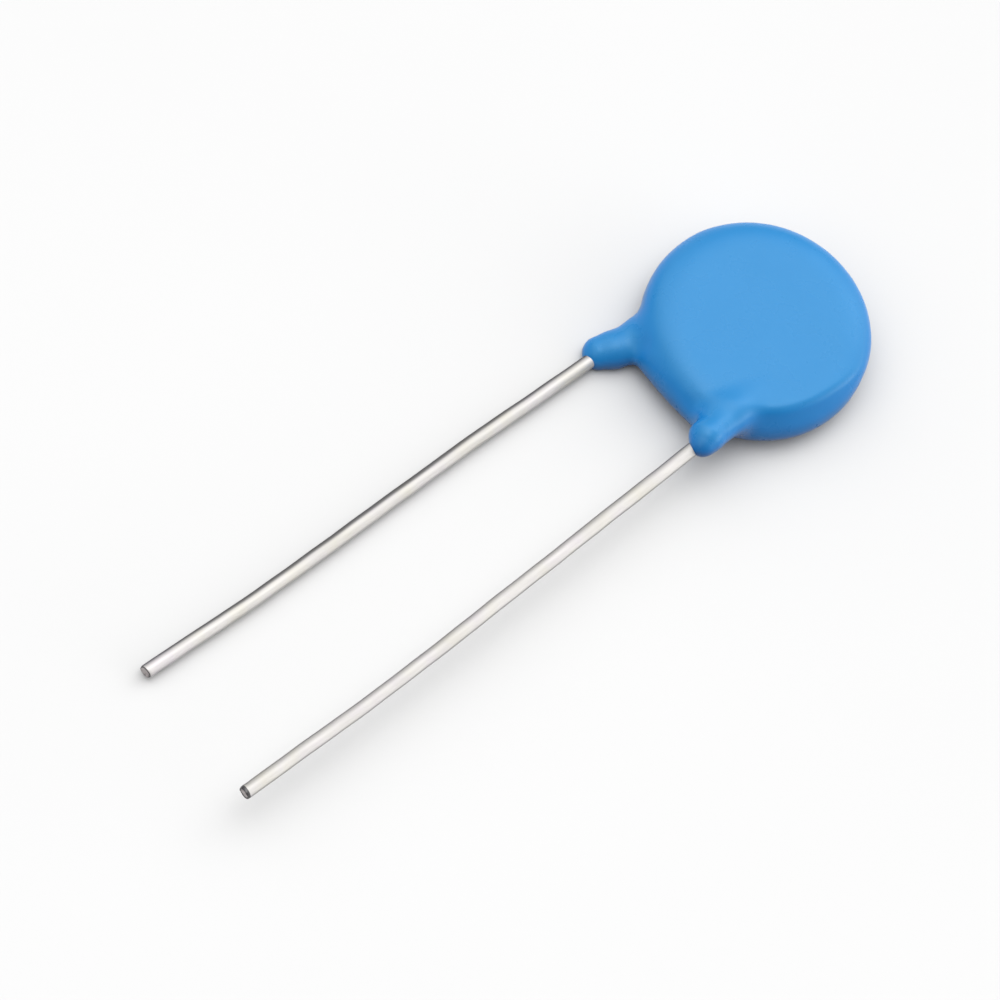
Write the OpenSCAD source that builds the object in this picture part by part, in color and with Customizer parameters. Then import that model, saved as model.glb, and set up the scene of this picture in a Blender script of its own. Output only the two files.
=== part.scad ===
// Radial-lead disc varistor with a dipped epoxy coating.
// Millimetres. +Z is the disc axis, front face up. Leads run towards -Y.
// The origin is the centre of the flat rear face, which is the rest plane.

/* [Coating] */
// Diameter over the coating
coat_diameter = 12.1; // [11.9:0.05:12.3]
// Thickness over the two flat faces
coat_thickness = 3.2; // [3.2:0.05:3.5]
// How far in from the edge the rim starts to round off
rim_depth = 2.15; // [1.95:0.05:2.3]
// Fullness of the rim, 2 is an ellipse and higher is squarer
rim_fullness = 2.5; // [2.3:0.05:2.8]
// How much squarer the front edge is on the front lead's side
shoulder = 1.8; // [1.4:0.1:2.2]
// How far in from the edge the bevel on that side starts
shoulder_in = 0.85; // [0.7:0.05:0.9]
// How far the edge between the legs stands out past the round
chin = 0.15; // [0.05:0.05:0.3]
// How softly the legs flow into the disc
web_softness = 0.73; // [0.58:0.05:0.83]

/* [Coated legs] */
// Thickest radius of the rear leg
rear_leg_r = 0.96; // [0.92:0.01:1.0]
// Thickest radius of the front leg
front_leg_r = 0.88; // [0.84:0.01:0.92]
// How far the coating runs down the rear wire, from the disc centre
rear_leg_end = 8.0; // [7.8:0.1:8.4]
// How far the coating runs down the front wire, from the disc centre
front_leg_end = 7.85; // [7.65:0.1:8.25]

/* [Varistor disc] */
// Diameter of the zinc oxide disc
disc_diameter = 10.0; // [9.8:0.1:10.2]
// Thickness of the zinc oxide disc
disc_thickness = 1.2; // [1.1:0.05:1.2]
// Diameter of the silver electrodes
electrode_diameter = 9.0; // [8.6:0.1:9.4]
// Thickness of the silver electrodes
electrode_thickness = 0.03; // [0.02:0.01:0.03]
// Solder left between wire and electrode
solder_film = 0.03; // [0.02:0.01:0.03]
// Radius of the solder mound along each wire
solder_r = 0.62; // [0.56:0.02:0.66]

/* [Leads] */
// Wire diameter
wire_diameter = 0.76; // [0.76:0.02:0.8]
// Distance between the two wires where they leave the coating
lead_pitch = 7.6; // [7.4:0.1:7.7]
// Where the wires stop inside, past the disc centre
wire_inner_end = 1.3; // [1.0:0.1:1.5]
// Splay of the front lead over its long straight run, degrees
front_splay = 4.6; // [3.8:0.1:5.0]
// Splay of the front lead at its free end, degrees
front_end_splay = 2.3; // [1.5:0.1:3.0]
// Distance from the disc centre to the front lead's cut end
front_reach = 39.5; // [36:0.1:42]
// Distance from the disc centre to the rear lead's cut end
rear_reach = 38.5; // [36:0.1:42]

/* [View] */
// Sub-part to draw

/* [Hidden] */
$fn = 72;
R = coat_diameter / 2;
h = coat_thickness / 2;
wr = wire_diameter / 2;
// the wires lie on the two electrodes, this far from the middle of the disc
wz = disc_thickness / 2 + electrode_thickness + solder_film + wr;
bend_r = wr - 0.004;
lap = 0.05;

// ---- leads ----
// Each lead is a list of runs: [length, turn towards +X in degrees, length of the bend]

front_start = [lead_pitch / 2 - 0.065 - (8 + wire_inner_end) * tan(front_splay), wire_inner_end, h + wz];
front_runs = [
    [(25 + wire_inner_end) / cos(front_splay), front_end_splay - front_splay, 8],
    [(front_reach - 25 - 8 * cos((front_splay + front_end_splay) / 2)) / cos(front_end_splay), 0, 0]];

rear_lean = -5.2;
rear_start = [-lead_pitch / 2 + 0.04 - (6.3 + wire_inner_end) * tan(rear_lean), wire_inner_end, h - wz];
rear_runs = [
    [(6.3 + wire_inner_end) / cos(rear_lean), 6.35, 1.2],
    [7, 1.5, 3.5],
    [10.3, -2.25, 4],
    [rear_reach - 32.26, 0, 0]];

// Wire along a list of runs, starting at p. A heading of 0 points to -Y.
// Each run is a true cylinder, each bend a true piece of a ring.
module wire(p, heading, runs, i = 0) {
    len_i = runs[i][0];
    turn = runs[i][1];
    q = p + len_i * [sin(heading), -cos(heading), 0];
    translate(p) rotate([0, 0, heading]) rotate([90, 0, 0]) cylinder(r = wr, h = len_i);
    if (turn != 0) {
        rb = runs[i][2] / (abs(turn) * PI / 180);
        over = lap / rb * 180 / PI;
        s = turn > 0 ? 1 : -1;
        m = heading + turn;
        translate(q) rotate([0, 0, heading])
            translate([s * rb, 0, 0])
                rotate([0, 0, s > 0 ? 180 - over : -abs(turn) - over])
                    rotate_extrude(angle = abs(turn) + 2 * over, $fn = 72)
                        translate([rb, 0]) circle(r = bend_r, $fn = 48);
        wire(q + s * rb * [cos(heading) - cos(m), sin(heading) - sin(m), 0], m, runs, i + 1);
    }
}

module front_wire() wire(front_start, front_splay, front_runs);

module rear_wire() wire(rear_start, rear_lean, rear_runs);

// ---- solder ----

// Two balls and the cone that touches both, turned about its own axis, with a small flat at each end
module round_cone(p, rp, q, rq) {
    v = q - p;
    L = norm(v);
    t = asin((rp - rq) / L);
    n = 9;
    translate(p)
        rotate([0, acos(v[2] / L), atan2(v[1], v[0])])
            rotate_extrude()
                polygon(concat(
                    [[0, rp * sin(-90 + (90 + t) / n)]],
                    [for (i = [1:n]) let (a = -90 + (90 + t) * i / n) [rp * cos(a), rp * sin(a)]],
                    [for (i = [0:n - 1]) let (a = t + (90 - t) * i / n) [rq * cos(a), L + rq * sin(a)]],
                    [[0, L + rq * sin(90 - (90 - t) / n)]]));
}

// Half-buried bead along a wire's inner stretch, sitting on the electrode
module mound(start, lean, up) {
    zface = h + up * (disc_thickness / 2 + electrode_thickness);
    a = [start[0], start[1] - 0.1, zface];
    b = [start[0] + (start[1] + 1.5) * tan(lean), -1.5, zface];
    intersection() {
        round_cone(a, solder_r, b, solder_r - 0.01);
        translate([-8, -8, up > 0 ? zface : zface - 2]) cube([16, 16, 2]);
    }
}

// ---- coating ----
// The dipped skin is one soft shape: a round-rimmed disc and two legs that flow into it.
// skin(p) is below zero inside and above zero outside, z counted from the middle of the disc.

function soft(a, b, k) = let (t = max(k - abs(a - b), 0) / k) min(a, b) - t * t * k / 4;

// distance to a strut from a (radius ra) to b (radius rb)
function strut(p, a, ra, b, rb) =
    let (d = b - a, t = max(0, min(1, (p - a) * d / (d * d)))) norm(p - a - t * d) - ra - (rb - ra) * t;

// direction the squarer, bevelled front edge faces
shoulder_side = [cos(-25), sin(-25)];

function disc_skin(p) =
    let (rho = norm([p[0], p[1]]), a = max(rho - R + rim_depth, 0) / rim_depth, b = abs(p[2]) / h,
         g = max([p[0], p[1]] * shoulder_side, 0) / max(rho, 1),
         f = rim_fullness + (p[2] > 0 ? shoulder * g * g : 0),
         d = (pow(pow(a, f) + pow(b, f), 1 / f) - 1) * min(rim_depth, h),
         bevel = (rho - R + shoulder_in) * 0.866 + (p[2] - h) * 0.5 - 1.1 * pow(1 - g * g, 2))
    -soft(-d, -bevel, 0.25);

// edge between the legs, drawn out nearly straight
chin_a = [-1.50, -R + 1.29 - chin, -0.30];
chin_b = [2.45, -R + 1.29 - chin, 0.11];

// low ridge over the rear wire where it crosses the rim
rear_0 = [-lead_pitch / 2 + 0.36, -2.9, -0.98];
rear_1 = [-lead_pitch / 2 + 0.20, -4.7, -0.98];

rear_a = [-lead_pitch / 2 + 0.54, -4.98, -0.83];
rear_b = [-lead_pitch / 2 + 0.21, 1.60 - rear_leg_end, -1.0];
rear_c = [-lead_pitch / 2 - 0.10, 0.86 - rear_leg_end, -1.10];

// the ridge over the front wire starts on the front face and runs into the front leg
front_0 = [lead_pitch / 2 - 0.72, -2.3, 0.50];
front_a = [lead_pitch / 2 - 0.55, -4.52, 0.80];
front_b = [lead_pitch / 2 - 0.19, 1.22 - front_leg_end, 1.27];
front_c = [lead_pitch / 2 + 0.06, 0.745 - front_leg_end, 1.30];

function rear_skin(p) = soft(
    strut(p, rear_a, 0.88, rear_b, rear_leg_r),
    strut(p, rear_b, rear_leg_r - 0.02, rear_c, 0.88), 0.3);

function front_skin(p) = soft(soft(
    strut(p, front_0, 0.62, front_a, 0.975),
    strut(p, front_a, 0.975, front_b, front_leg_r), 0.3),
    strut(p, front_b, front_leg_r - 0.02, front_c, 0.61), 0.3);

function body_skin(p) =
    soft(soft(disc_skin(p), strut(p, chin_a, 1.25, chin_b, 1.25), 0.32),
        strut(p, rear_0, 0.60, rear_1, 0.62), 0.4);

// fuller fillet in the corner between the front leg and the edge that runs to the rear leg
function corner(p) = 0.4 * pow(max(0, 1 - (pow(p[0] - 2.4, 2) + pow(p[1] + 5.6, 2)) / 2.25), 2);

function skin(p) = soft(soft(body_skin(p), rear_skin(p), web_softness + 0.37), front_skin(p), web_softness + corner(p));

// distance along u from a point inside to the skin, between lo and hi
function reach(p, u, lo, hi, n) = n == 0
    ? let (a = skin(p + lo * u), b = skin(p + hi * u)) lo + (hi - lo) * a / (a - b)
    : let (m = (lo + hi) / 2) skin(p + m * u) < 0 ? reach(p, u, m, hi, n - 1) : reach(p, u, lo, m, n - 1);

// rest plane and front plateau are kept truly flat
function flat(z) = z < -h + 0.003 ? 0 : abs(z - h) < 0.003 ? 2 * h : z + h;

function outward(p, u) =
    let (t = reach(p, u, 0, 5, 8),
         s = u[2] < 0 ? min(t, (-h - p[2]) / u[2]) : t,
         q = p + s * u)
    [q[0], q[1], flat(q[2])];

// The skin is laid out as columns round the outline and rows from front face to rear face.
// A column is [x, y, z, plan direction, owner]: rays leave that core point inside the coating.
// The columns of a leg go down its middle on one side, round the tip and back up the other side,
// so both sides share the same core points. The owner is the first column at that core point.

function along(a, b, c, t) = t < 0.8 ? a + (b - a) * t / 0.8 : b + (c - b) * (t - 0.8) / 0.2;

// left and right: plan directions of the rays down the two sides of a leg
function leg_columns(a, b, c, left, right, first) =
    let (n = len(left),
         cores = [for (k = [0:n - 1]) along(a, b, c, k / (n - 1))],
         turn = right[n - 1] - left[n - 1])
    concat(
        [for (k = [0:n - 1]) [each cores[k], left[k], first + k]],
        [for (k = [1:9]) [each cores[n - 1], left[n - 1] + turn * k / 10, first + n - 1]],
        [for (k = [n - 1:-1:0]) [each cores[k], right[k], first + k]]);

round_part = concat(
    [for (r = [[-42:4:-10], [-5:5:175], [180:4:220]]) for (a = r) [4.4 * cos(a), 4.4 * sin(a), 0, a]],
    [for (k = [1:4]) [-3.33 + 0.08 * k, -2.85 - 0.37 * k, -0.16 * k, 221 - 3 * k]]);
n_round = len(round_part);
rear_part = leg_columns([-2.95, -4.7, -0.75], rear_b, rear_c,
    [199, 193, 187, 183, 180, 180, 180, 180, 180, 184],
    [299, 304, 310, 317, 326, 337, 349, 357, 360, 356], n_round);
n_rear = len(rear_part);
chin_part = [for (k = [0:7])
    [-2.3 + 5.0 * k / 7, -4.75, -0.45 + 0.9 * k / 7, 288 - 30 * k / 7]];
n_chin = len(chin_part);
front_part = leg_columns([3.15, -4.5, 0.75], front_b, front_c,
    [247, 243, 236, 226, 214, 202, 192, 184, 180, 184],
    [338, 348, 355, 359, 360, 360, 360, 360, 360, 356], n_round + n_rear + n_chin);

web_part = [for (k = [1:3]) [3.15 + 0.04 * k, -4.5 + 0.4 * k, 0.75 - 0.2 * k, 338 - 5 * k]];

parts = concat(round_part, rear_part, chin_part, front_part, web_part);
nc = len(parts);
owner = [for (i = [0:nc - 1]) len(parts[i]) > 4 ? parts[i][4] : i];
// columns that border the two caps: all but the insides of the legs
edge = [for (i = [0:nc - 1]) if (owner[i] == i && (len(parts[i]) == 4 || i == n_round || i == n_round + n_rear + n_chin)) i];

module coat_outer() {
    nr = 22;
    inner = [0.94, 0.88, 0.81, 0.73, 0.6, 0.3];
    ne = len(edge);
    ni = len(inner);
    cap_0 = (nr + 1) * nc;
    cap_1 = cap_0 + ni * ne;
    side = [for (r = [0:nr]) each [for (c = parts)
        let (t = 90 - 180 * r / nr)
        outward([c[0], c[1], c[2]], [cos(t) * cos(c[3]), cos(t) * sin(c[3]), sin(t)])]];
    caps = [for (u = [1, -1]) each [for (f = inner) each [for (i = edge)
        outward(f * [parts[i][0], parts[i][1], parts[i][2]], [0, 0, u])]]];
    function at(r, i) = r * nc + (r == 0 || r == nr ? owner[i % nc] : i % nc);
    function cap(up, r, i) = r == 0 ? at(up ? 0 : nr, edge[i % ne])
        : (up ? cap_0 : cap_1) + (r - 1) * ne + i % ne;
    points = concat(side, caps, [[0, 0, 2 * h], [0, 0, 0]]);
    centre = cap_1 + ni * ne;
    // two triangles across the shorter diagonal
    function quad(a, b, c, d) = norm(points[a] - points[c]) < norm(points[b] - points[d])
        ? [[a, b, c], [a, c, d]] : [[a, b, d], [b, c, d]];
    function whole(t) = t[0] != t[1] && t[1] != t[2] && t[2] != t[0];
    faces = concat(
        [for (r = [0:nr - 1]) for (i = [0:nc - 1])
            each quad(at(r, i), at(r, i + 1), at(r + 1, i + 1), at(r + 1, i))],
        [for (r = [0:ni - 1]) for (i = [0:ne - 1])
            each quad(cap(true, r + 1, i), cap(true, r + 1, i + 1), cap(true, r, i + 1), cap(true, r, i))],
        [for (r = [0:ni - 1]) for (i = [0:ne - 1])
            each quad(cap(false, r, i), cap(false, r, i + 1), cap(false, r + 1, i + 1), cap(false, r + 1, i))],
        [for (i = [0:ne - 1]) [centre, cap(true, ni, i + 1), cap(true, ni, i)]],
        [for (i = [0:ne - 1]) [centre + 1, cap(false, ni, i), cap(false, ni, i + 1)]]);
    polyhedron(points, [for (t = faces) if (whole(t)) t], convexity = 6);
}

// ---- sub-parts ----

module epoxy_coating() color([0.07, 0.35, 0.72]) {
    difference() {
        coat_outer();
        ceramic_disc();
        front_electrode();
        rear_electrode();
        mound(front_start, front_splay, 1);
        mound(rear_start, rear_lean, -1);
        front_wire();
        rear_wire();
    }
}

module ceramic_disc() color([0.22, 0.22, 0.24])
    translate([0, 0, h - disc_thickness / 2])
        cylinder(d = disc_diameter, h = disc_thickness, $fn = 144);

module front_electrode() color([0.85, 0.85, 0.83])
    translate([0, 0, h + disc_thickness / 2])
        cylinder(d = electrode_diameter, h = electrode_thickness, $fn = 144);

module rear_electrode() color([0.85, 0.85, 0.83])
    translate([0, 0, h - disc_thickness / 2 - electrode_thickness])
        cylinder(d = electrode_diameter, h = electrode_thickness, $fn = 144);

module front_solder() color([0.68, 0.69, 0.70])
    difference() {
        mound(front_start, front_splay, 1);
        front_wire();
    }

module rear_solder() color([0.68, 0.69, 0.70])
    difference() {
        mound(rear_start, rear_lean, -1);
        rear_wire();
    }

module front_lead() color([0.80, 0.80, 0.79]) front_wire();

module rear_lead() color([0.80, 0.80, 0.79]) rear_wire();

epoxy_coating();
ceramic_disc();
front_electrode();
rear_electrode();
front_solder();
rear_solder();
front_lead();
rear_lead();
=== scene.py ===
# Radial-lead disc varistor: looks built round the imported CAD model.
# Lengths inside the mesh code are in millimetres; objects are in metres, in the CAD frame.
import math

import bpy
import numpy as np
from mathutils import Matrix, Vector


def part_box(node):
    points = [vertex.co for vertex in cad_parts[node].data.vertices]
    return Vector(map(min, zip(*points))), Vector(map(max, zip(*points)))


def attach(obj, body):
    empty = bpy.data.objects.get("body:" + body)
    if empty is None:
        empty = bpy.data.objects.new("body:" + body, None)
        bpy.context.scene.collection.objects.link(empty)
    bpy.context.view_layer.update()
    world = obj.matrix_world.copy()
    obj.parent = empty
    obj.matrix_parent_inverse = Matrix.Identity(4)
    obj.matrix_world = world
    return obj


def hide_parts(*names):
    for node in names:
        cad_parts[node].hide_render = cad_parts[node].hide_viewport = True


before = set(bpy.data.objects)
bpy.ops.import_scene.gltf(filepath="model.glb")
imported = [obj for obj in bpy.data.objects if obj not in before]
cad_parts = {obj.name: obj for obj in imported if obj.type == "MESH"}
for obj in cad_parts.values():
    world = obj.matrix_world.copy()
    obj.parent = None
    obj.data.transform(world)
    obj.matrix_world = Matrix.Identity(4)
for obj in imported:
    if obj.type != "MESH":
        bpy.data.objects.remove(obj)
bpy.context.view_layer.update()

MM = 0.001

# ---------------------------------------------------------------- sizes, as in the CAD model
coat_diameter, coat_thickness = 12.1, 3.2
rim_depth, rim_fullness, shoulder, shoulder_in, chin, web_softness = 2.15, 2.5, 1.8, 0.85, 0.15, 0.73
rear_leg_r, front_leg_r, rear_leg_end, front_leg_end = 0.96, 0.88, 8.0, 7.85
wire_diameter, lead_pitch, wire_inner_end = 0.76, 7.6, 1.3
front_splay, front_end_splay, front_reach, rear_reach = 4.6, 2.3, 39.5, 38.5
rear_lean = -5.2
R, h, wr = coat_diameter / 2, coat_thickness / 2, wire_diameter / 2

# the middle of the disc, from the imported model
lo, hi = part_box("ceramic_disc")
MID = np.array((lo + hi) / 2) / MM


# ---------------------------------------------------------------- small helpers
def mesh_object(name, verts_mm, faces, material=None, smooth=True):
    me = bpy.data.meshes.new(name)
    me.from_pydata((np.asarray(verts_mm, float) * MM).tolist(), [], [list(map(int, f)) for f in faces])
    me.validate(verbose=False)
    me.update()
    if smooth:
        me.polygons.foreach_set("use_smooth", [True] * len(me.polygons))
    ob = bpy.data.objects.new(name, me)
    bpy.context.scene.collection.objects.link(ob)
    if material:
        me.materials.append(material)
    return ob


def soft(a, b, k):
    t = np.maximum(k - np.abs(a - b), 0) / k
    return np.minimum(a, b) - t * t * k / 4


def strut(p, a, ra, b, rb):
    a, b = np.array(a, float), np.array(b, float)
    d = b - a
    t = np.clip(((p - a) @ d) / (d @ d), 0, 1)
    return np.linalg.norm(p - a - t[..., None] * d, axis=-1) - ra - (rb - ra) * t


def waves(p, amp, wavelength, seed, n=10):
    """Smooth random field: a few plane waves with fixed directions and phases."""
    rng = np.random.default_rng(seed)
    out = np.zeros(p.shape[:-1])
    for _ in range(n):
        k = rng.normal(size=3)
        k *= 2 * math.pi / (wavelength * rng.uniform(0.7, 1.5)) / np.linalg.norm(k)
        out += np.sin(p @ k + rng.uniform(0, 2 * math.pi))
    return out * amp / math.sqrt(n)


# ---------------------------------------------------------------- epoxy coating
chin_a, chin_b = (-1.50, -R + 1.29 - chin, -0.30), (2.45, -R + 1.29 - chin, 0.11)
rear_0, rear_1 = (-lead_pitch / 2 + 0.36, -2.9, -0.98), (-lead_pitch / 2 + 0.20, -4.7, -0.98)
rear_a = (-lead_pitch / 2 + 0.54, -4.98, -0.83)
rear_b = (-lead_pitch / 2 + 0.21, 1.60 - rear_leg_end, -1.0)
rear_c = (-lead_pitch / 2 - 0.10, 0.86 - rear_leg_end, -1.10)
front_0 = (lead_pitch / 2 - 0.72, -2.3, 0.50)
front_a = (lead_pitch / 2 - 0.55, -4.52, 0.80)
front_b = (lead_pitch / 2 - 0.19, 1.22 - front_leg_end, 1.27)
front_c = (lead_pitch / 2 + 0.06, 0.745 - front_leg_end, 1.30)

# specks of dust caught under the skin: x, y, side, radius, height
SPECKS = [(-3.2, -4.0, 1, 0.10, 0.012), (4.6, 1.1, 1, 0.07, 0.010)]


def skin(p):
    """Below zero inside the coating. p is an array of points counted from the middle of the disc."""
    x, y, z = p[..., 0], p[..., 1], p[..., 2]
    rho = np.hypot(x, y)
    crown = 0.008 * np.clip(rho / R, 0, 1) ** 2
    a = np.maximum(rho - R + rim_depth, 0) / rim_depth
    b = np.abs(z) / np.where(z > 0, h - crown, h)
    # the front edge is squarer on the front lead's side
    g = np.maximum(x * math.cos(math.radians(-25)) + y * math.sin(math.radians(-25)), 0) / np.maximum(rho, 1)
    f = rim_fullness + np.where(z > 0, shoulder * g * g, 0)
    d = ((a ** f + b ** f) ** (1 / f) - 1) * min(rim_depth, h)
    bevel = (rho - R + shoulder_in) * 0.866 + (z - h) * 0.5 - 1.1 * (1 - g * g) ** 2
    d = -soft(-d, -bevel, 0.25)
    d = soft(d, strut(p, chin_a, 1.25, chin_b, 1.25), 0.32)
    d = soft(d, strut(p, rear_0, 0.60, rear_1, 0.62), 0.4)
    rear = soft(strut(p, rear_a, 0.88, rear_b, rear_leg_r), strut(p, rear_b, rear_leg_r - 0.02, rear_c, 0.88), 0.3)
    front = soft(soft(strut(p, front_0, 0.62, front_a, 0.975), strut(p, front_a, 0.975, front_b, front_leg_r), 0.3),
                 strut(p, front_b, front_leg_r - 0.02, front_c, 0.61), 0.3)
    d = soft(d, rear, web_softness + 0.37)
    corner = 0.4 * np.maximum(0, 1 - ((x - 2.4) ** 2 + (y + 5.6) ** 2) / 2.25) ** 2
    d = soft(d, front, web_softness + corner)
    # the dip is not perfectly even: a faint swell over the faces, a little more on the legs and rim
    away = np.clip((rho - 3.5) / 3.0, 0, 1)
    d = d + waves(p, 0.004, 3.2, 11) * (1 + 1.5 * away) + waves(p, 0.0018, 1.1, 12) * (0.3 + away)
    for sx, sy, side, sr, sh in SPECKS:
        g = np.exp(-((x - sx) ** 2 + (y - sy) ** 2) / (sr * sr))
        d = d - sh * g * (np.sign(z) == side)
    # flat where it rests
    return -soft(-d, z + h, 0.05)


def surface_net(fn, lo, hi, step):
    """Quads round the zero level of fn, with the vertices pulled onto it."""
    n = np.ceil((np.array(hi) - np.array(lo)) / step).astype(int) + 1
    ax = [lo[i] + step * np.arange(n[i]) for i in range(3)]
    g = np.empty(n)
    yy, zz = np.meshgrid(ax[1], ax[2], indexing="ij")
    for i in range(n[0]):
        g[i] = fn(np.stack([np.full_like(yy, ax[0][i]), yy, zz], -1))
    inside = g < 0
    acc = np.zeros((*(n - 1), 3))
    cnt = np.zeros(n - 1)
    for axis in range(3):
        a = [slice(None)] * 3
        b = [slice(None)] * 3
        a[axis], b[axis] = slice(0, -1), slice(1, None)
        ga, gb = g[tuple(a)], g[tuple(b)]
        cross = inside[tuple(a)] != inside[tuple(b)]
        idx = np.argwhere(cross)
        t = ga[cross] / (ga[cross] - gb[cross])
        pos = idx.astype(float)
        pos[:, axis] += t
        o1, o2 = [k for k in range(3) if k != axis]
        for s1 in (0, -1):
            for s2 in (0, -1):
                c = idx.copy()
                c[:, o1] += s1
                c[:, o2] += s2
                ok = (c >= 0).all(1) & (c < n - 1).all(1)
                np.add.at(acc, tuple(c[ok].T), pos[ok])
                np.add.at(cnt, tuple(c[ok].T), 1)
    used = cnt > 0
    ids = -np.ones(n - 1, int)
    ids[used] = np.arange(used.sum())
    verts = acc[used] / cnt[used][:, None] * step + np.array(lo)
    faces = []
    for axis in range(3):
        a = [slice(None)] * 3
        b = [slice(None)] * 3
        a[axis], b[axis] = slice(0, -1), slice(1, None)
        cross = inside[tuple(a)] != inside[tuple(b)]
        idx = np.argwhere(cross)
        o1, o2 = (axis + 1) % 3, (axis + 2) % 3
        quad = []
        for s1, s2 in ((0, 0), (-1, 0), (-1, -1), (0, -1)):
            c = idx.copy()
            c[:, o1] += s1
            c[:, o2] += s2
            quad.append(ids[tuple(c.T)])
        quad = np.stack(quad, 1)
        out = inside[tuple(a)][cross]
        quad[~out] = quad[~out][:, ::-1]
        faces.append(quad)
    faces = np.concatenate(faces)
    faces = faces[(faces >= 0).all(1)]

    def gradient(p, e=1e-3):
        k = np.array([[1, -1, -1], [-1, -1, 1], [-1, 1, -1], [1, 1, 1.0]])
        return sum(q * fn(p + q * e)[:, None] for q in k) / (4 * e)

    # even out the net, then pull it back on
    pairs = np.concatenate([faces[:, [i, (i + 1) % 4]] for i in range(4)])
    pairs = np.unique(np.sort(pairs, 1), axis=0)
    for it in range(6):
        total = np.zeros_like(verts)
        number = np.zeros(len(verts))
        np.add.at(total, pairs[:, 0], verts[pairs[:, 1]])
        np.add.at(total, pairs[:, 1], verts[pairs[:, 0]])
        np.add.at(number, pairs.ravel(), 1)
        verts = verts + 0.5 * (total / number[:, None] - verts)
        for _ in range(2):
            gr = gradient(verts)
            verts = verts - (fn(verts) / np.maximum((gr ** 2).sum(1), 0.05))[:, None] * gr
    return verts, faces, gradient(verts)


coat_v, coat_f, coat_g = surface_net(skin, (-6.5, -8.6, -1.9), (6.5, 6.5, 2.5), 0.09)


# ---------------------------------------------------------------- materials
def nodes_of(name):
    m = bpy.data.materials.new(name)
    m.use_nodes = True
    nt = m.node_tree
    return m, nt, nt.nodes["Principled BSDF"]


def node(nt, kind, **props):
    n = nt.nodes.new(kind)
    for k, v in props.items():
        if k.startswith("in_"):
            n.inputs[int(k[3:]) if k[3:].isdigit() else k[3:].replace("_", " ")].default_value = v
        else:
            setattr(n, k, v)
    return n


def noise(nt, coord, scale, detail=2.0, rough=0.5, distortion=0.0):
    n = node(nt, "ShaderNodeTexNoise")
    n.inputs["Scale"].default_value = scale
    n.inputs["Detail"].default_value = detail
    n.inputs["Roughness"].default_value = rough
    n.inputs["Distortion"].default_value = distortion
    nt.links.new(coord, n.inputs["Vector"])
    return n


def ramp(nt, fac, stops, interpolation="LINEAR"):
    r = node(nt, "ShaderNodeValToRGB")
    r.color_ramp.interpolation = interpolation
    els = r.color_ramp.elements
    while len(els) < len(stops):
        els.new(0.5)
    for e, (pos, col) in zip(els, stops):
        e.position = pos
        e.color = (*col, 1.0) if len(col) == 3 else col
    nt.links.new(fac, r.inputs["Fac"])
    return r


def map_range(nt, value, a, b, c, d):
    m = node(nt, "ShaderNodeMapRange")
    m.inputs["From Min"].default_value, m.inputs["From Max"].default_value = a, b
    m.inputs["To Min"].default_value, m.inputs["To Max"].default_value = c, d
    nt.links.new(value, m.inputs["Value"])
    return m.outputs["Result"]


def coords(nt, scale=(1, 1, 1)):
    """Object coordinates in millimetres, stretched."""
    t = node(nt, "ShaderNodeTexCoord")
    m = node(nt, "ShaderNodeMapping")
    m.inputs["Scale"].default_value = [1000 * s for s in scale]
    nt.links.new(t.outputs["Object"], m.inputs["Vector"])
    return m.outputs["Vector"]


def mix(nt, fac, a, b, blend="MIX"):
    m = node(nt, "ShaderNodeMix", data_type="RGBA", blend_type=blend)
    for value, socket in ((fac, m.inputs[0]), (a, m.inputs[6]), (b, m.inputs[7])):
        if hasattr(value, "is_linked") or hasattr(value, "links"):
            nt.links.new(value, socket)
        else:
            socket.default_value = value
    return m.outputs[2]


def bump(nt, height, strength, distance_mm, normal=None):
    b = node(nt, "ShaderNodeBump")
    b.inputs["Strength"].default_value = strength
    b.inputs["Distance"].default_value = distance_mm * MM
    nt.links.new(height, b.inputs["Height"])
    if normal:
        nt.links.new(normal, b.inputs["Normal"])
    return b.outputs["Normal"]


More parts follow.
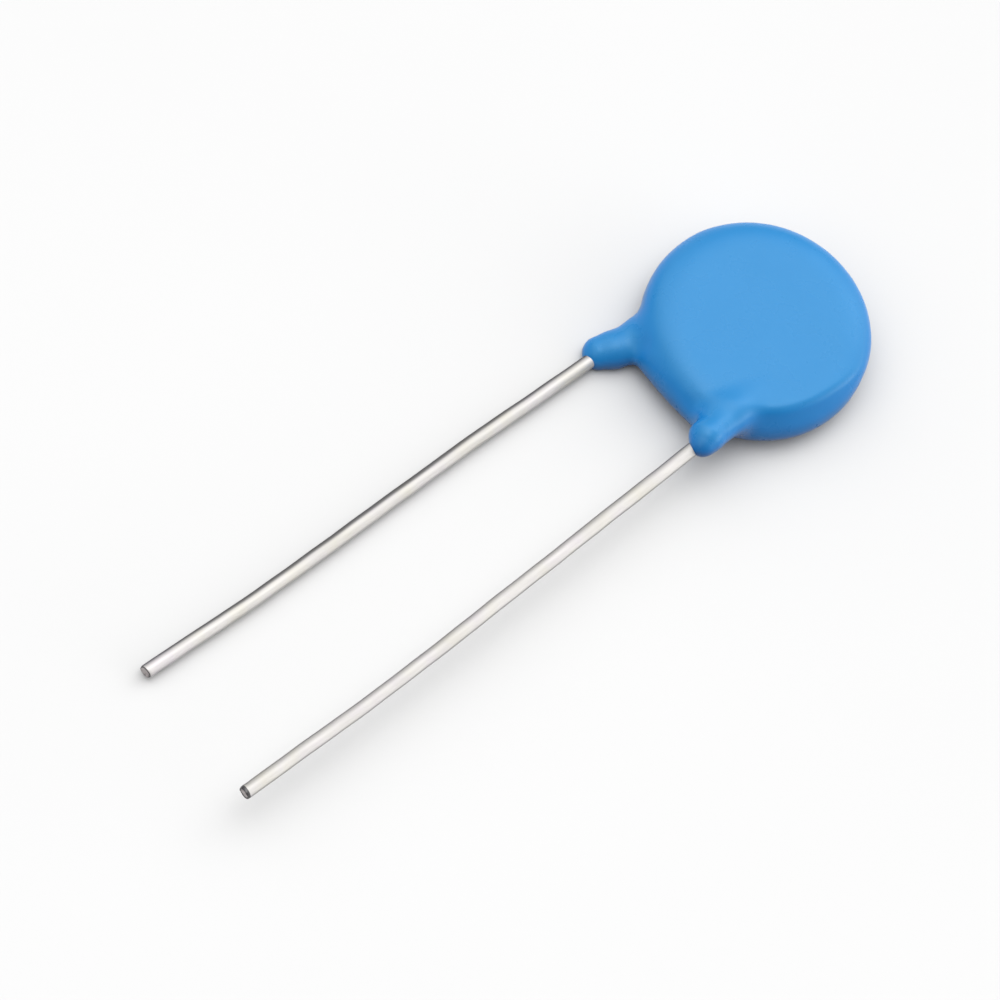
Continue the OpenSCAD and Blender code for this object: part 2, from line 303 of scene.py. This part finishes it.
def epoxy():
    m, nt, bs = nodes_of("blue_epoxy")
    c = coords(nt)
    cloud = noise(nt, c, 0.35, 4, 0.55)
    fine = noise(nt, c, 2.4, 3, 0.6)
    base = ramp(nt, cloud.outputs["Fac"], [(0.30, (0.0190, 0.1675, 0.3955)), (0.70, (0.0216, 0.1734, 0.4054))])
    tint = ramp(nt, fine.outputs["Fac"], [(0.30, (0.975, 0.985, 0.99)), (0.75, (1.0, 1.0, 1.0))])
    col = mix(nt, 1.0, base.outputs["Color"], tint.outputs["Color"], "MULTIPLY")
    # painted shade: the base colour is darkened and made bluer by the normal's Z, darker on the sides and darkest on
    # the undersides of the legs
    coat_normal_xyz = node(nt, "ShaderNodeSeparateXYZ")
    nt.links.new(node(nt, "ShaderNodeNewGeometry").outputs["Normal"], coat_normal_xyz.inputs[0])
    side = ramp(nt, map_range(nt, coat_normal_xyz.outputs["Z"], -1.0, 1.0, 0.0, 1.0),
                [(0.10, (0.36, 0.60, 0.70)), (0.42, (0.34, 0.78, 0.92)), (0.57, (0.36, 0.90, 1.06)), (0.70, (0.40, 1.0, 1.18)), (0.93, (1.0, 1.0, 1.0))])
    col = mix(nt, 1.0, col, side.outputs["Color"], "MULTIPLY")
    # painted shade: darker still where the normal faces (0.70, -0.45, -0.55), the side turned away from the light
    shade_dir_dot = node(nt, "ShaderNodeVectorMath", operation="DOT_PRODUCT")
    nt.links.new(coat_normal_xyz.inputs[0].links[0].from_socket, shade_dir_dot.inputs[0])
    shade_dir_dot.inputs[1].default_value = (0.70, -0.45, -0.55)
    painted_shade_away = ramp(nt, map_range(nt, shade_dir_dot.outputs["Value"], -1.0, 1.0, 0.0, 1.0),
                  [(0.65, (1.0, 1.0, 1.0)), (0.72, (0.92, 0.91, 0.93)), (0.80, (0.80, 0.77, 0.81)), (0.88, (0.70, 0.66, 0.72)), (0.98, (0.60, 0.55, 0.64))])
    col = mix(nt, 1.0, col, painted_shade_away.outputs["Color"], "MULTIPLY")
    # painted shade: the rounded tip of the front leg is darkened where it curves down
    tip_reach = node(nt, "ShaderNodeVectorMath", operation="DOT_PRODUCT")
    nt.links.new(c, tip_reach.inputs[0])
    tip_reach.inputs[1].default_value = (0.5, -1.0, 0.0)
    painted_tip_shade = ramp(nt, map_range(nt, tip_reach.outputs["Value"], 8.7, 9.8, 0.0, 1.0), [(0.0, (1.0, 1.0, 1.0)), (1.0, (0.88, 0.70, 0.80))])
    col = mix(nt, 1.0, col, painted_tip_shade.outputs["Color"], "MULTIPLY")
    nt.links.new(col, bs.inputs["Base Color"])
    nt.links.new(map_range(nt, noise(nt, c, 0.8, 3).outputs["Fac"], 0.3, 0.7, 0.26, 0.30), bs.inputs["Roughness"])
    bs.inputs["IOR"].default_value = 1.52
    bs.inputs["Specular IOR Level"].default_value = 0.300
    bs.inputs["Specular Tint"].default_value = (0.62, 0.92, 1.0, 1.0)
    peel = noise(nt, c, 3.2, 2, 0.5)
    grain = noise(nt, c, 14.0, 2, 0.6)
    n = bump(nt, peel.outputs["Fac"], 0.12, 0.006)
    n = bump(nt, grain.outputs["Fac"], 0.04, 0.001, n)
    nt.links.new(n, bs.inputs["Normal"])
    return m


def tinned(name, edge, shade_depth, middle_y, half_length):
    """Dipped tin: satin, faintly mottled; painted reflection greys it where it turns away, painted shade (its depth
    set by the third argument) darkens the side towards -X, and painted light brightens the side towards +X.
    """
    m, nt, bs = nodes_of(name)
    c = coords(nt)
    along = coords(nt, (1.0, 0.10, 1.0))
    mottled = noise(nt, c, 0.55, 3, 0.55)
    base = ramp(nt, mottled.outputs["Fac"], [(0.30, (0.985, 0.955, 0.880)), (0.50, (0.985, 0.960, 0.930)), (0.70, (0.960, 0.915, 0.935))])
    streak = noise(nt, along, 5.0, 2, 0.5)
    dull = ramp(nt, streak.outputs["Fac"], [(0.30, (0.96, 0.96, 0.96)), (0.65, (1, 1, 1))])
    col = mix(nt, 1.0, base.outputs["Color"], dull.outputs["Color"], "MULTIPLY")
    # painted reflection: the base colour is greyed towards the silhouette edges, standing in for dark surroundings
    # reflected there
    layer = node(nt, "ShaderNodeLayerWeight")
    layer.inputs["Blend"].default_value = 0.5
    rim = ramp(nt, layer.outputs["Facing"], [(0.40, (1, 1, 1)), (0.60, (edge, edge, edge * 1.02)), (0.78, (edge * 1.15, edge * 1.15, edge * 1.18))])
    col = mix(nt, 1.0, col, rim.outputs["Color"], "MULTIPLY")
    # painted shade and painted light: the base colour is darker on the side towards -X and brighter towards +X; the
    # dark band is widest half-way along
    side = node(nt, "ShaderNodeSeparateXYZ")
    nt.links.new(node(nt, "ShaderNodeNewGeometry").outputs["Normal"], side.inputs[0])
    place = node(nt, "ShaderNodeSeparateXYZ")
    nt.links.new(c, place.inputs[0])
    off = map_range(nt, place.outputs["Y"], middle_y, middle_y + half_length, 0.0, 1.0)
    off.node.clamp = False
    sq = node(nt, "ShaderNodeMath", operation="MULTIPLY")
    nt.links.new(off, sq.inputs[0])
    nt.links.new(off, sq.inputs[1])
    turn = node(nt, "ShaderNodeMath", operation="MULTIPLY_ADD")
    nt.links.new(sq.outputs[0], turn.inputs[0])
    turn.inputs[1].default_value = 0.36
    nt.links.new(side.outputs["X"], turn.inputs[2])
    tone = lambda k: (min(0.48, 0.48 * shade_depth * k),) * 2 + (min(0.48, 0.48 * shade_depth * k * 1.03),)
    painted_side_shade = ramp(nt, map_range(nt, turn.outputs[0], -1.0, 1.0, 0.0, 1.0),
                [(0.02, tone(1.4)), (0.10, tone(1.0)), (0.24, tone(1.15)), (0.31, tone(1.6)), (0.385, tone(2.4)),
                 (0.46, (0.475, 0.475, 0.475)), (0.58, (0.495, 0.495, 0.495)), (0.72, (0.575, 0.575, 0.575)),
                 (0.97, (0.64, 0.64, 0.64))])
    col = mix(nt, 1.0, col, painted_side_shade.outputs["Color"], "MULTIPLY")
    nt.links.new(col, bs.inputs["Base Color"])
    bs.inputs["Metallic"].default_value = 1.0
    nt.links.new(map_range(nt, noise(nt, along, 3.0, 3).outputs["Fac"], 0.3, 0.7, 0.58, 0.66), bs.inputs["Roughness"])
    n = bump(nt, streak.outputs["Fac"], 0.08, 0.004)
    n = bump(nt, noise(nt, c, 5.0, 2).outputs["Fac"], 0.10, 0.008, n)
    nt.links.new(n, bs.inputs["Normal"])
    return m


def cut_metal():
    """Sheared copper-clad end: greyish pink, smeared, with dark grease in the rough rim."""
    m, nt, bs = nodes_of("cut_wire_end")
    c = coords(nt)
    nz = noise(nt, c, 5.0, 4, 0.65)
    base = ramp(nt, nz.outputs["Fac"], [(0.30, (0.12, 0.115, 0.12)), (0.42, (0.36, 0.325, 0.325)), (0.75, (0.56, 0.52, 0.515))])
    nt.links.new(base.outputs["Color"], bs.inputs["Base Color"])
    bs.inputs["Metallic"].default_value = 0.85
    nt.links.new(map_range(nt, nz.outputs["Fac"], 0.3, 0.7, 0.40, 0.58), bs.inputs["Roughness"])
    nt.links.new(bump(nt, noise(nt, coords(nt, (3, 1, 0.6)), 10.0, 3).outputs["Fac"], 0.6, 0.02), bs.inputs["Normal"])
    return m


def cut_edge():
    """The dark ring round the cut end."""
    m, nt, bs = nodes_of("cut_wire_edge")
    c = coords(nt)
    nz = noise(nt, c, 4.0, 3, 0.6)
    base = ramp(nt, nz.outputs["Fac"], [(0.35, (0.045, 0.045, 0.050)), (0.65, (0.15, 0.145, 0.145))])
    nt.links.new(base.outputs["Color"], bs.inputs["Base Color"])
    bs.inputs["Metallic"].default_value = 0.9
    nt.links.new(map_range(nt, nz.outputs["Fac"], 0.3, 0.7, 0.35, 0.55), bs.inputs["Roughness"])
    nt.links.new(bump(nt, nz.outputs["Fac"], 0.4, 0.015), bs.inputs["Normal"])
    return m


def sintered():
    m, nt, bs = nodes_of("zinc_oxide")
    c = coords(nt)
    g = noise(nt, c, 9.0, 4, 0.65)
    base = ramp(nt, g.outputs["Fac"], [(0.3, (0.035, 0.036, 0.040)), (0.7, (0.060, 0.060, 0.066))])
    nt.links.new(base.outputs["Color"], bs.inputs["Base Color"])
    nt.links.new(map_range(nt, g.outputs["Fac"], 0.3, 0.7, 0.6, 0.8), bs.inputs["Roughness"])
    nt.links.new(bump(nt, g.outputs["Fac"], 0.5, 0.02), bs.inputs["Normal"])
    return m


def silver():
    m, nt, bs = nodes_of("fired_silver")
    c = coords(nt)
    g = noise(nt, c, 7.0, 4, 0.6)
    base = ramp(nt, g.outputs["Fac"], [(0.3, (0.74, 0.73, 0.70)), (0.7, (0.84, 0.83, 0.81))])
    nt.links.new(base.outputs["Color"], bs.inputs["Base Color"])
    bs.inputs["Metallic"].default_value = 0.85
    nt.links.new(map_range(nt, g.outputs["Fac"], 0.3, 0.7, 0.5, 0.65), bs.inputs["Roughness"])
    nt.links.new(bump(nt, g.outputs["Fac"], 0.4, 0.01), bs.inputs["Normal"])
    return m


def solder():
    m, nt, bs = nodes_of("tin_solder")
    c = coords(nt)
    g = noise(nt, c, 4.0, 4, 0.6, 0.4)
    base = ramp(nt, g.outputs["Fac"], [(0.3, (0.50, 0.51, 0.53)), (0.7, (0.68, 0.68, 0.68))])
    nt.links.new(base.outputs["Color"], bs.inputs["Base Color"])
    bs.inputs["Metallic"].default_value = 1.0
    nt.links.new(map_range(nt, g.outputs["Fac"], 0.3, 0.7, 0.28, 0.5), bs.inputs["Roughness"])
    nt.links.new(bump(nt, g.outputs["Fac"], 0.5, 0.03), bs.inputs["Normal"])
    return m


EPOXY, CUT, EDGE, ZNO, SILVER, SOLDER = epoxy(), cut_metal(), cut_edge(), sintered(), silver(), solder()
TIN_FRONT, TIN_REAR = tinned("tinned_wire_front", 0.58, 1.0, -23.0, 1000.0), tinned("tinned_wire_rear", 0.72, 0.32, -23.0, 15.5)

coating = mesh_object("coating", coat_v + MID, coat_f, EPOXY)
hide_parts("epoxy_coating")
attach(coating, "root")


# ---------------------------------------------------------------- leads
def sind(a):
    return math.sin(math.radians(a))


def cosd(a):
    return math.cos(math.radians(a))


def tand(a):
    return math.tan(math.radians(a))


front_start = (lead_pitch / 2 - 0.065 - (8 + wire_inner_end) * tand(front_splay), wire_inner_end)
front_runs = [((25 + wire_inner_end) / cosd(front_splay), front_end_splay - front_splay, 8.0),
              ((front_reach - 25 - 8 * cosd((front_splay + front_end_splay) / 2)) / cosd(front_end_splay), 0, 0)]
rear_start = (-lead_pitch / 2 + 0.04 - (6.3 + wire_inner_end) * tand(rear_lean), wire_inner_end)
rear_runs = [((6.3 + wire_inner_end) / cosd(rear_lean), 6.35, 1.2), (7, 1.5, 3.5), (10.3, -2.25, 4),
             (rear_reach - 32.26, 0, 0)]


def route(start, heading, runs, step=0.2):
    """Points and headings along a lead, as the CAD lays it out."""
    p, m, out = np.array(start, float), heading, []
    for length, turn, bend in runs:
        n = max(2, int(length / step))
        for i in range(n):
            s = length * i / n
            out.append((p + s * np.array([sind(m), -cosd(m)]), m))
        p = p + length * np.array([sind(m), -cosd(m)])
        if turn:
            rb = bend / math.radians(abs(turn))
            s = 1 if turn > 0 else -1
            n = max(2, int(bend / step))
            p0, m0 = p, m
            for i in range(n):
                a = m0 + turn * i / n
                out.append((p0 + s * rb * np.array([cosd(m0) - cosd(a), sind(m0) - sind(a)]), a))
            m = m0 + turn
            p = p0 + s * rb * np.array([cosd(m0) - cosd(m), sind(m0) - sind(m)])
    out.append((p, m))
    return out


def lead(name, start, heading, runs, z, cad_node, seed, tilt, burr, metal, dark):
    path = route(start, heading, runs)
    sides = 56
    rng = np.random.default_rng(seed)
    verts, faces = [], []
    length = np.cumsum([0] + [np.linalg.norm(path[i + 1][0] - path[i][0]) for i in range(len(path) - 1)])
    total = length[-1]
    phase = rng.uniform(0, 2 * math.pi, 8)

    def ring(pos, m, r, shear=0.0, s=0.0):
        t = np.array([sind(m), -cosd(m), 0])
        side = np.array([cosd(m), sind(m), 0])
        up = np.array([0, 0, 1.0])
        first = len(verts)
        for k in range(sides):
            a = 2 * math.pi * k / sides
            rr = r * (1 + 0.006 * math.sin(2 * a + phase[0] + 0.22 * s) + 0.005 * math.sin(3 * a + phase[1] - 0.5 * s))
            v = np.array([pos[0], pos[1], z]) + rr * (math.cos(a) * side + math.sin(a) * up)
            v = v + t * shear * rr * (math.cos(a) * math.cos(tilt) + math.sin(a) * math.sin(tilt))
            verts.append(v)
        return first

    rings = []
    end = path[-1]
    # body of the wire, with the faint thick and thin of a dipped tin layer
    for (pos, m), s in zip(path[:-1], length):
        if total - s < 0.30:
            break
        wobble = 0.006 * math.sin(0.9 * s + phase[2]) + 0.004 * math.sin(2.3 * s + phase[3])
        r = wr * (1 - 0.008 + 0.010 * math.sin(0.55 * s + phase[4]) + 0.006 * math.sin(1.9 * s + phase[5]))
        rings.append(ring(pos + wobble * np.array([cosd(m), sind(m)]), m, r, 0.0, s))
    # the sheared end: the edge is drawn in, the face leans a little and has a step across it
    m = end[1]
    t2 = np.array([sind(m), -cosd(m)])
    for back, share in ((0.28, 0.995), (0.20, 0.99), (0.13, 0.975), (0.075, 0.945), (0.045, 0.90)):
        rings.append(ring(end[0] - t2 * back, m, wr * share, 0.10, total))
    face_start = len(rings)
    for share, dip in ((0.86, 0.028), (0.78, 0.026), (0.66, 0.050), (0.52, 0.062), (0.36, 0.058), (0.20, 0.055), (0.08, 0.054)):
        first = ring(end[0] - t2 * (dip if dip else 0.03), m, wr * share, 0.10, total)
        for k in range(sides):
            a = 2 * math.pi * k / sides
            lift = burr * 0.03 * math.tanh(6 * (math.sin(a - tilt)) * share) * (0.4 + 0.6 * share)
            lift += 0.008 * math.sin(3 * a + phase[6]) * share
            verts[first + k] = verts[first + k] + np.array([t2[0], t2[1], 0]) * lift
        rings.append(first)
    for a, b in zip(rings[:-1], rings[1:]):
        for k in range(sides):
            j = (k + 1) % sides
            faces.append([a + k, a + j, b + j, b + k])
    # close both ends
    first, last = rings[0], rings[-1]
    verts.append(np.array([path[0][0][0], path[0][0][1], z]))
    c0 = len(verts) - 1
    faces += [[first + (k + 1) % sides, first + k, c0] for k in range(sides)]
    verts.append(np.mean(verts[last:last + sides], axis=0))
    c1 = len(verts) - 1
    faces += [[last + k, last + (k + 1) % sides, c1] for k in range(sides)]
    ob = mesh_object(name, verts, faces, metal)
    ob.data.materials.append(CUT)
    ob.data.materials.append(EDGE)
    n_body = (face_start + dark[1]) * sides
    index = np.zeros(len(ob.data.polygons), int)
    index[(face_start - dark[0]) * sides:n_body] = 2
    index[n_body:(len(rings) - 1) * sides] = 1
    index[(len(rings) - 1) * sides + sides:] = 1
    ob.data.polygons.foreach_set("material_index", index)
    # outward faces
    import bmesh
    bm = bmesh.new()
    bm.from_mesh(ob.data)
    bmesh.ops.recalc_face_normals(bm, faces=bm.faces)
    bm.to_mesh(ob.data)
    bm.free()
    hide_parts(cad_node)
    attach(ob, "root")
    return ob


def middle_z(name):
    a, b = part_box(name)
    return (a.z + b.z) / 2 / MM


lead("lead_front", front_start, front_splay, front_runs, middle_z("front_lead"), "front_lead", 5, 0.6, 1.0, TIN_FRONT, (4, 2))
lead("lead_rear", rear_start, rear_lean, rear_runs, middle_z("rear_lead"), "rear_lead", 6, 2.4, 0.6, TIN_REAR, (2, 1))

# ---------------------------------------------------------------- carried-over inner pieces
for name, mat in (("ceramic_disc", ZNO), ("front_electrode", SILVER), ("rear_electrode", SILVER),
                  ("front_solder", SOLDER), ("rear_solder", SOLDER)):
    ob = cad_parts[name]
    ob.data.materials.clear()
    ob.data.materials.append(mat)

# ---------------------------------------------------------------- floor
fm, fnt, fb = nodes_of("floor_white")
fc = coords(fnt)
fnoise = noise(fnt, fc, 0.02, 3)
fr = ramp(fnt, fnoise.outputs["Fac"], [(0.3, (0.555, 0.555, 0.555)), (0.7, (0.565, 0.565, 0.565))])
fnt.links.new(fr.outputs["Color"], fb.inputs["Base Color"])
fb.inputs["Roughness"].default_value = 0.9
fb.inputs["Specular IOR Level"].default_value = 0.1
bpy.ops.mesh.primitive_circle_add(vertices=96, radius=1.0, fill_type="NGON", location=(0, 0, 0))
floor = bpy.context.object
floor.name = "floor"
floor.data.materials.append(fm)

# ---------------------------------------------------------------- light
# A soft studio dome: broad soft lights (direction, tightness, strength) from above and behind,
# darker low down and on the near side.
LIGHTS = [
    (0.765, 0.642, 0.052, 14, 4.27), (0.000, 0.000, 1.000, 14, 3.92),
    (0.000, 0.788, 0.616, 14, 2.93), (-0.303, 0.470, 0.829, 14, 1.59),
    (0.173, 0.983, 0.052, 14, 1.43), (-0.000, -0.788, 0.616, 14, 1.42),
    (-0.556, 0.056, 0.829, 14, 1.19), (-0.390, -0.400, 0.829, 14, 1.17),
    (-0.788, 0.000, 0.616, 14, 1.15), (-0.938, 0.342, 0.052, 14, 0.79),
    (0.000, 0.276, 0.961, 14, 0.72), (-0.499, -0.865, 0.052, 14, 0.71),
    (0.557, 0.557, 0.616, 14, 0.70), (0.883, 0.321, 0.342, 14, 0.66),
    (-0.720, -0.604, 0.342, 14, 0.54)]
AMBIENT = 0.000

world = bpy.data.worlds.new("studio")
bpy.context.scene.world = world
world.use_nodes = True
wnt = world.node_tree
bg = wnt.nodes["Background"]
bg.inputs["Color"].default_value = (1, 1, 1, 1)
toward = node(wnt, "ShaderNodeTexCoord").outputs["Generated"]
total = None
for lx, ly, lz, tight, strength in LIGHTS:
    dot = node(wnt, "ShaderNodeVectorMath", operation="DOT_PRODUCT")
    wnt.links.new(toward, dot.inputs[0])
    dot.inputs[1].default_value = (lx, ly, lz)
    fall = node(wnt, "ShaderNodeMath", operation="MULTIPLY_ADD")
    wnt.links.new(dot.outputs["Value"], fall.inputs[0])
    fall.inputs[1].default_value, fall.inputs[2].default_value = tight, -tight
    lobe = node(wnt, "ShaderNodeMath", operation="EXPONENT")
    wnt.links.new(fall.outputs[0], lobe.inputs[0])
    add = node(wnt, "ShaderNodeMath", operation="MULTIPLY_ADD")
    wnt.links.new(lobe.outputs[0], add.inputs[0])
    add.inputs[1].default_value = strength
    if total is None:
        add.inputs[2].default_value = AMBIENT
    else:
        wnt.links.new(total, add.inputs[2])
    total = add.outputs[0]
wnt.links.new(total, bg.inputs["Strength"])

# ---------------------------------------------------------------- camera, at the angle the part is shown from
RIGHT = Vector((0.61962, 0.76093, 0.19252)).normalized()
UP = Vector((-0.74893, 0.49975, 0.43515)).normalized()
BACK = RIGHT.cross(UP).normalized()
UP = BACK.cross(RIGHT).normalized()
scale = 19.373                      # image points for each millimetre
lens = 1000.0
middle = Vector(MID) * MM
target = middle + RIGHT * ((500 - 755.0) / scale * MM) + UP * (-(500 - 331.5) / scale * MM)
distance = lens * 1000 / (36 * scale) * MM
cam_data = bpy.data.cameras.new("camera")
cam_data.lens, cam_data.sensor_width = lens, 36
cam_data.clip_start, cam_data.clip_end = 0.05, 20
cam = bpy.data.objects.new("camera", cam_data)
cam.matrix_world = Matrix.Translation(target + BACK * distance) @ Matrix((RIGHT, UP, BACK)).transposed().to_4x4()
bpy.context.scene.collection.objects.link(cam)
bpy.context.scene.camera = cam
bpy.context.scene.view_settings.view_transform = "Standard"
bpy.context.scene.view_settings.look = "None"
